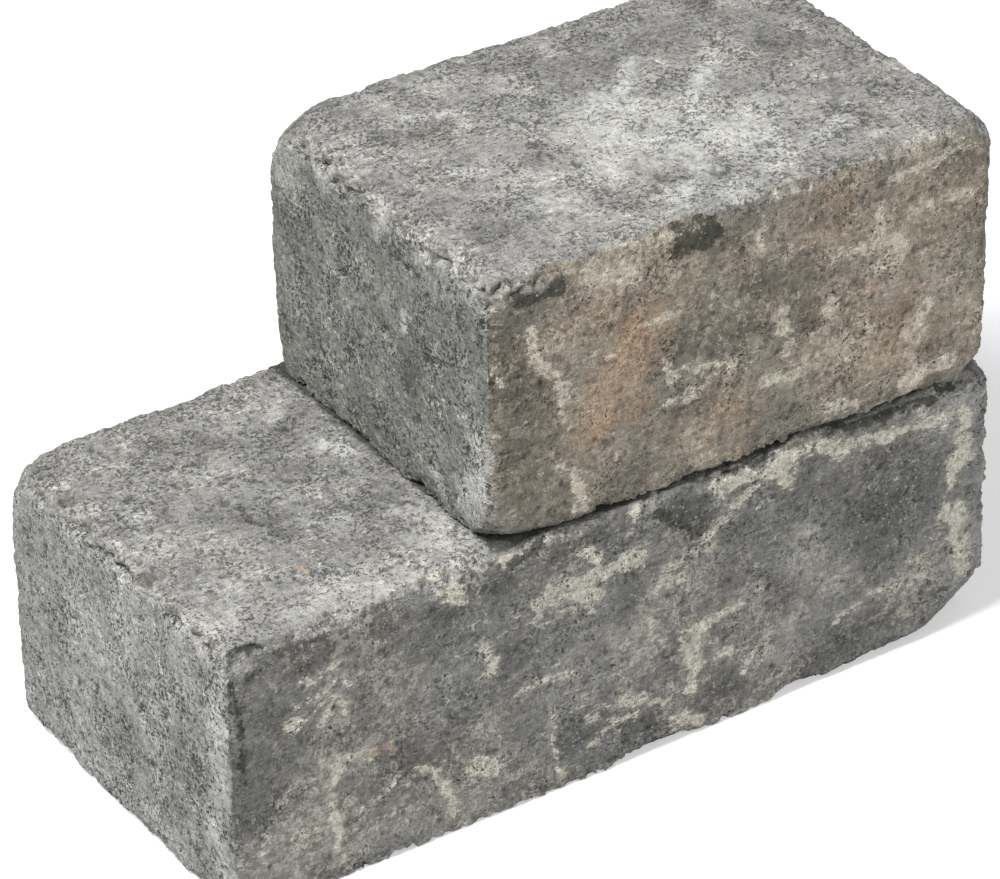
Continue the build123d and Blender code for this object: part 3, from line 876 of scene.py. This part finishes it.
class ConcreteLook(bpy.types.PropertyGroup):
    """Colours and grain of one block's concrete."""

    top_colour: colour_prop("Top", (0.298, 0.294, 0.28), "Top face")
    end_colour: colour_prop("Ends", (0.325, 0.328, 0.32), "End faces")
    front_colour: colour_prop("Front, warm", (0.262, 0.256, 0.236), "Warmer parts of the long faces")
    front_cool: colour_prop("Front, cool", (0.212, 0.212, 0.204), "Cooler parts of the long faces")
    tan_colour: colour_prop("Tan", (0.50, 0.36, 0.25), "Rusty stains")
    pale_colour: colour_prop("Pale", (0.70, 0.665, 0.57), "Lime bloom")
    # The colour of the painted shade in pits, cracks, crumb notches and the joint
    pit_shade_colour: colour_prop("Holes", (0.05, 0.05, 0.043), "Bottom of pits")
    bloom_colour: colour_prop("Bloom", (0.63, 0.625, 0.60), "Pale bloom on the top")
    moss_colour: colour_prop("Moss", (0.055, 0.058, 0.045), "Near-black growth")
    tan_share: number_prop("Tan share", 0.95, "How strongly the rusty stains cover")
    light_gain: number_prop("Light gain", 1.5, "How much the washed patches lighten")
    dark_gain: number_prop("Dark gain", 0.5, "How much the damp patches darken")
    scratches: number_prop("Scratches", 0.14, "How much fine scratches shade the surface")
    halo: number_prop("Halo", 0.22, "How much a pale film shows round the bloom")
    veins: number_prop("Veins", 0.6, "How strongly hairline veins show")
    crust: number_prop("Crust", 0.42, "How strongly lime covers the arrises")
    pinholes: number_prop("Pinholes", 0.92, "How many pinholes the top and ends have")
    front_pinholes: number_prop("Front pinholes", 0.55, "How many pinholes the long faces have")
    grain_tone: number_prop("Grain tone", 0.86, "How much the grain shades the ends")
    top_grain: number_prop("Top grain tone", 0.7, "How much the grain shades the top")
    front_grain: number_prop("Front grain tone", 0.68, "How much the grain shades the long faces")
    # Painted light and shade on the grain: how much lighter its high spots and darker its low spots are
    grain_relief_shade: number_prop("Rise tone", 0.14, "How much lighter the high spots of the grain are")
    bump: length_prop("Bump", 0.0014, "Height of the finest grain")


class StageLook(bpy.types.PropertyGroup):
    """Floor, light and camera."""

    floor_colour: colour_prop("Floor", (0.62, 0.62, 0.62), "Floor")
    floor_glow: bpy.props.FloatProperty(name="Floor glow", description="What the camera sees added to the lit floor", default=0.45)
    world: bpy.props.FloatProperty(name="Sky", description="Strength of the even light from all round", default=0.38)
    key: bpy.props.FloatProperty(name="Key lamp", description="Power of the large lamp above the left end", subtype="POWER", default=85)
    fill: bpy.props.FloatProperty(name="Fill lamp", description="Power of the lamp in front", subtype="POWER", default=10)
    lens: bpy.props.FloatProperty(name="Lens", description="Focal length in millimetres", default=187.06)
    eye: bpy.props.FloatVectorProperty(name="Camera place", description="Where the camera stands", subtype="TRANSLATION", size=3, default=(-1.1805, -1.84939, 1.53238))
    aim: bpy.props.FloatVectorProperty(name="Camera aim", description="The point in the middle of the picture", subtype="TRANSLATION", size=3, default=(-0.00475, -0.00618, 0.14043))
    roll: bpy.props.FloatProperty(name="Camera roll", description="Turn about the line of sight", subtype="ANGLE", default=math.radians(-1.551))


def shared_groups():
    """The node groups that both blocks use, made once."""
    grain = bpy.data.node_groups.get("Concrete grain") or grain_group()
    mark = bpy.data.node_groups.get("Ragged mark") or mark_group()
    return grain, mark


def finish_block(piece, node, material):
    """Hand a cast block over to the frame."""
    piece.data.materials.clear()
    piece.data.materials.append(material)
    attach(piece, "root")
    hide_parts(node)


def long_bedding(cast, own, points, normals):
    """Where the long block is bedded: its underside, and its top under the short block."""
    low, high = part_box("short_block")
    inset = 12.0
    covered = fade(points[:, 0], low.x / MM + inset, low.x / MM + inset + 6)
    return np.maximum(cast.face_share("bottom", normals), cast.face_share("top", normals) * covered)


def short_bedding(cast, own, points, normals):
    """Where the short block is bedded: its underside."""
    return cast.face_share("bottom", normals)


def long_seat_dirt_and_shade(cast, own, points, normals):
    """Dirt and painted shade in the joint along the front and ends of the short block's seat."""
    low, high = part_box("short_block")
    under = fade(points[:, 0], low.x / MM - 1, low.x / MM + 5)
    return under * np.exp(-((cast.from_faces(own)["top"] / 2.6) ** 2))


def short_foot_dirt_and_shade(cast, own, points, normals):
    """Dirt and painted shade along the foot of the short block, where it sits in the joint."""
    return np.exp(-((own[:, 2] / 1.8) ** 2))


class BLOCKS_OT_long_block(bpy.types.Operator):
    """Cast and colour the long block"""

    bl_idname = "blocks.long_block"
    bl_label = "Long block"

    def execute(self, context):
        wear = context.scene.block_wear
        piece = cast_block(context, "long_block", 0.0, LONG_MARKS, LONG_PITS, LONG_CRUMBLE, LONG_CRESTS, long_bedding, long_seat_dirt_and_shade, wear.long_voxel, 100)
        material = concrete("long block concrete", context.scene.long_look, *shared_groups())
        finish_block(piece, "long_block", material)
        return {"FINISHED"}


class BLOCKS_OT_short_block(bpy.types.Operator):
    """Cast and colour the short block"""

    bl_idname = "blocks.short_block"
    bl_label = "Short block"

    def execute(self, context):
        wear = context.scene.block_wear
        piece = cast_block(context, "short_block", wear.short_turn, SHORT_MARKS, SHORT_PITS, SHORT_CRUMBLE, SHORT_CRESTS, short_bedding, short_foot_dirt_and_shade, wear.short_voxel, 500)
        material = concrete("short block concrete", context.scene.short_look, *shared_groups())
        finish_block(piece, "short_block", material)
        return {"FINISHED"}


def area_lamp(name, power, size, place, aim):
    """A large square lamp that looks at a point."""
    data = bpy.data.lights.new(name, "AREA")
    data.energy = power
    data.size = size
    lamp = bpy.data.objects.new(name, data)
    lamp.location = place
    lamp.rotation_euler = (Vector(aim) - Vector(place)).to_track_quat("-Z", "Y").to_euler()
    bpy.context.scene.collection.objects.link(lamp)
    return lamp


class BLOCKS_OT_stage(bpy.types.Operator):
    """Lay the floor, hang the lamps and set up the camera"""

    bl_idname = "blocks.stage"
    bl_label = "Stage"

    def execute(self, context):
        look = context.scene.stage_look
        floor_mesh = bpy.data.meshes.new("floor")
        reach = 20.0
        floor_mesh.from_pydata([(-reach, -reach, 0), (reach, -reach, 0), (reach, reach, 0), (-reach, reach, 0)], [], [(0, 1, 2, 3)])
        floor = bpy.data.objects.new("floor", floor_mesh)
        context.scene.collection.objects.link(floor)
        material = bpy.data.materials.new("floor")
        material.use_nodes = True
        tree = material.node_tree
        shader = tree.nodes["Principled BSDF"]
        shader.inputs["Base Color"].default_value = rgb(look.floor_colour)
        shader.inputs["Roughness"].default_value = 1.0
        shader.inputs["Specular IOR Level"].default_value = 0.0
        path = put(tree, "ShaderNodeLightPath")
        seen = sums(tree, "MAXIMUM", path.outputs["Is Camera Ray"], path.outputs["Is Glossy Ray"])
        seen = sums(tree, "MAXIMUM", seen, path.outputs["Is Transmission Ray"])
        shader.inputs["Emission Color"].default_value = (1, 1, 1, 1)
        tree.links.new(sums(tree, "MULTIPLY", seen, look.floor_glow), shader.inputs["Emission Strength"])
        floor.data.materials.append(material)
        world = bpy.data.worlds.new("sky")
        world.use_nodes = True
        context.scene.world = world
        sky = world.node_tree
        back = sky.nodes["Background"]
        back.inputs["Color"].default_value = (1, 1, 1, 1)
        path = put(sky, "ShaderNodeLightPath")
        seen = sums(sky, "MAXIMUM", path.outputs["Is Camera Ray"], path.outputs["Is Glossy Ray"])
        seen = sums(sky, "MAXIMUM", seen, path.outputs["Is Transmission Ray"])
        sky.links.new(ramp(sky, seen, 0.0, 1.0, look.world, 1.0), back.inputs["Strength"])
        centre = (0.0, 0.0, 0.15)
        area_lamp("key lamp", look.key, 0.7, (-1.3, -0.35, 2.5), centre)
        area_lamp("fill lamp", look.fill, 2.0, (0.6, -2.4, 1.2), centre)
        camera_data = bpy.data.cameras.new("camera")
        camera_data.sensor_fit = "HORIZONTAL"
        camera_data.sensor_width = 36.0
        camera_data.lens = look.lens
        camera_data.clip_end = 100.0
        camera = bpy.data.objects.new("camera", camera_data)
        eye = Vector(look.eye)
        turn = (Vector(look.aim) - eye).to_track_quat("-Z", "Y").to_matrix()
        camera.matrix_world = Matrix.Translation(eye) @ (turn @ Matrix.Rotation(look.roll, 3, "Z")).to_4x4()
        context.scene.collection.objects.link(camera)
        context.scene.camera = camera
        context.scene.view_settings.view_transform = "Standard"
        return {"FINISHED"}


class BLOCKS_PT_panel(bpy.types.Panel):
    """Lists the steps that make the blocks"""

    bl_label = "Walling blocks"
    bl_idname = "BLOCKS_PT_panel"
    bl_space_type = "VIEW_3D"
    bl_region_type = "UI"
    bl_category = "Walling blocks"

    def draw(self, context):
        for operator in OPERATORS:
            self.layout.operator(operator.bl_idname)


OPERATORS = (BLOCKS_OT_long_block, BLOCKS_OT_short_block, BLOCKS_OT_stage)
CLASSES = (BlockWear, ConcreteLook, StageLook, *OPERATORS, BLOCKS_PT_panel)


def register():
    for cls in CLASSES:
        bpy.utils.register_class(cls)
    scene = bpy.types.Scene
    scene.block_wear = bpy.props.PointerProperty(type=BlockWear)
    scene.long_look = bpy.props.PointerProperty(type=ConcreteLook)
    scene.short_look = bpy.props.PointerProperty(type=ConcreteLook)
    scene.stage_look = bpy.props.PointerProperty(type=StageLook)


def unregister():
    scene = bpy.types.Scene
    del scene.stage_look, scene.short_look, scene.long_look, scene.block_wear
    for cls in reversed(CLASSES):
        bpy.utils.unregister_class(cls)


def set_looks(scene):
    """Where one block's concrete differs from the other's."""
    look = scene.short_look
    look.end_colour = (0.24, 0.243, 0.228)
    look.front_colour = (0.345, 0.30, 0.235)
    look.front_cool = (0.235, 0.222, 0.19)
    look.pale_colour = (0.70, 0.64, 0.53)


def main():
    register()
    set_looks(bpy.context.scene)
    bpy.ops.blocks.long_block()
    bpy.ops.blocks.short_block()
    bpy.ops.blocks.stage()


if __name__ == "__main__":
    main()
